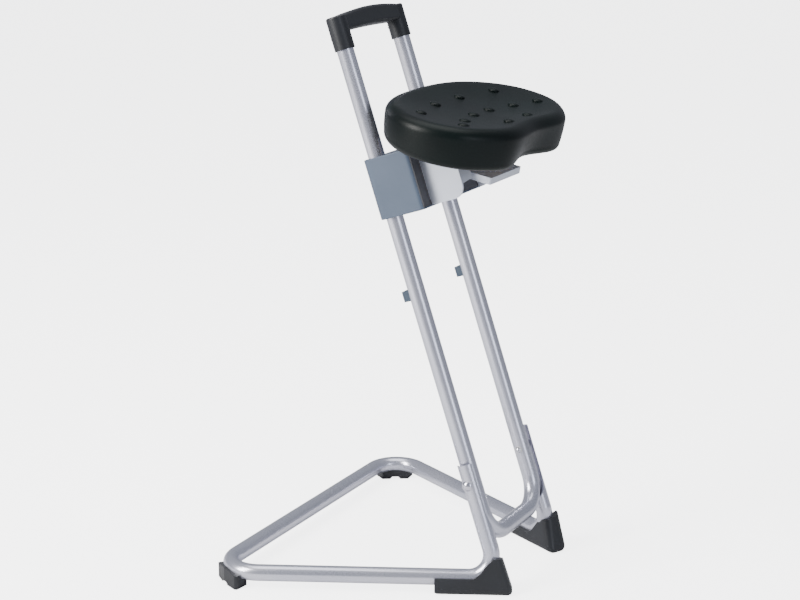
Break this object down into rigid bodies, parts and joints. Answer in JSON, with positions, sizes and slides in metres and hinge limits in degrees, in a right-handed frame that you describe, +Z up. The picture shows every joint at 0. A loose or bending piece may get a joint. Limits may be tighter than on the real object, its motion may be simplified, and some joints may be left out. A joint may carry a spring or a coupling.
{
  "type": "perch stool",
  "caption": "Leaning perch stool: a dished foam seat slides on a tubular frame that folds flat over its triangular floor base.",
  "frame": {"origin": "on the floor, at the centre of the stool's footprint", "axes": "+Z up; +X to the left of someone facing the front of the stool; -Y is the front, where the sitter's legs are; the uprights lean back towards +Y"},
  "size_m": [0.5506, 0.4202, 0.8392],
  "materials": {
    "silver_tube": "silver powder coat, satin",
    "silver_bracket": "silver powder coat on pressed steel",
    "charcoal_plastic": "fine-textured charcoal moulding",
    "stop_rubber": "dark slate moulding",
    "carriage_plastic": "blue-grey moulding, satin",
    "panel_plastic": "dark grey moulding, satin",
    "rivet_steel": "domed, lightly polished",
    "zinc_steel": "bright zinc plate",
    "pressed_steel": "plain pressed steel, oiled",
    "spring_steel": "spring wire",
    "bush_plastic": "natural acetal",
    "insert_board": "plain plywood",
    "seat_foam": "black-green self-skinned polyurethane foam, satin"
  },
  "bodies": {
    "base": {"base_frame": "silver_tube", "front_foot_left": "charcoal_plastic", "front_foot_right": "charcoal_plastic", "rear_glide_left": "charcoal_plastic", "rear_glide_right": "charcoal_plastic", "foot_screws": "zinc_steel", "pivot_rivet_left": "rivet_steel", "pivot_rivet_right": "rivet_steel"},
    "uprights": {"upright_frame": "silver_tube", "pivot_bush_left": "bush_plastic", "pivot_bush_right": "bush_plastic", "lower_stop_left": "stop_rubber", "lower_stop_right": "stop_rubber", "stop_screws": "zinc_steel", "carry_handle": "charcoal_plastic", "handle_screws": "zinc_steel"},
    "carriage": {"carriage_housing": "carriage_plastic", "housing_screws": "zinc_steel", "carriage_front_panel": "panel_plastic", "carriage_core": "pressed_steel", "guide_bush_lower_left": "bush_plastic", "guide_bush_lower_right": "bush_plastic", "guide_bush_upper_left": "bush_plastic", "guide_bush_upper_right": "bush_plastic", "seat_bracket": "silver_bracket", "bracket_bolts": "zinc_steel", "bracket_nuts": "zinc_steel", "lever_pin": "zinc_steel", "lever_spacers": "bush_plastic", "pin_clips": "zinc_steel", "lock_spring_left": "spring_steel", "lock_spring_right": "spring_steel", "seat_insert": "insert_board", "seat_screws": "zinc_steel", "seat_pad": "seat_foam"},
    "release_lever": {"release_lever": "silver_bracket"},
    "locking_plate": {"locking_plate": "pressed_steel"}
  },
  "joints": [
    {"name": "frame_fold", "type": "hinge", "parent": "base", "child": "uprights", "pos_m": [0, -0.13498, 0.16253], "axis": [-1, 0, 0], "range_deg": [0, 82]},
    {"name": "seat_height", "type": "slide", "parent": "uprights", "child": "carriage", "axis": [0, 0.3272, 0.9449], "range_m": [-0.1087, 0.159]},
    {"name": "lever_lift", "type": "hinge", "parent": "carriage", "child": "release_lever", "pos_m": [0, -0.0286, 0.62255], "axis": [-1, 0, 0], "range_deg": [0, 5], "stiffness_Nm_per_rad": 2, "springref_deg": -11.46},
    {"name": "lock_tilt", "type": "hinge", "parent": "carriage", "child": "locking_plate", "pos_m": [0, 0.0316, 0.59164], "axis": [1, 0, 0], "range_deg": [0, 2.7]}
  ],
  "couplings": [
    {"joint": "lock_tilt", "follows": "lever_lift", "ratio": 0.53}
  ]
}
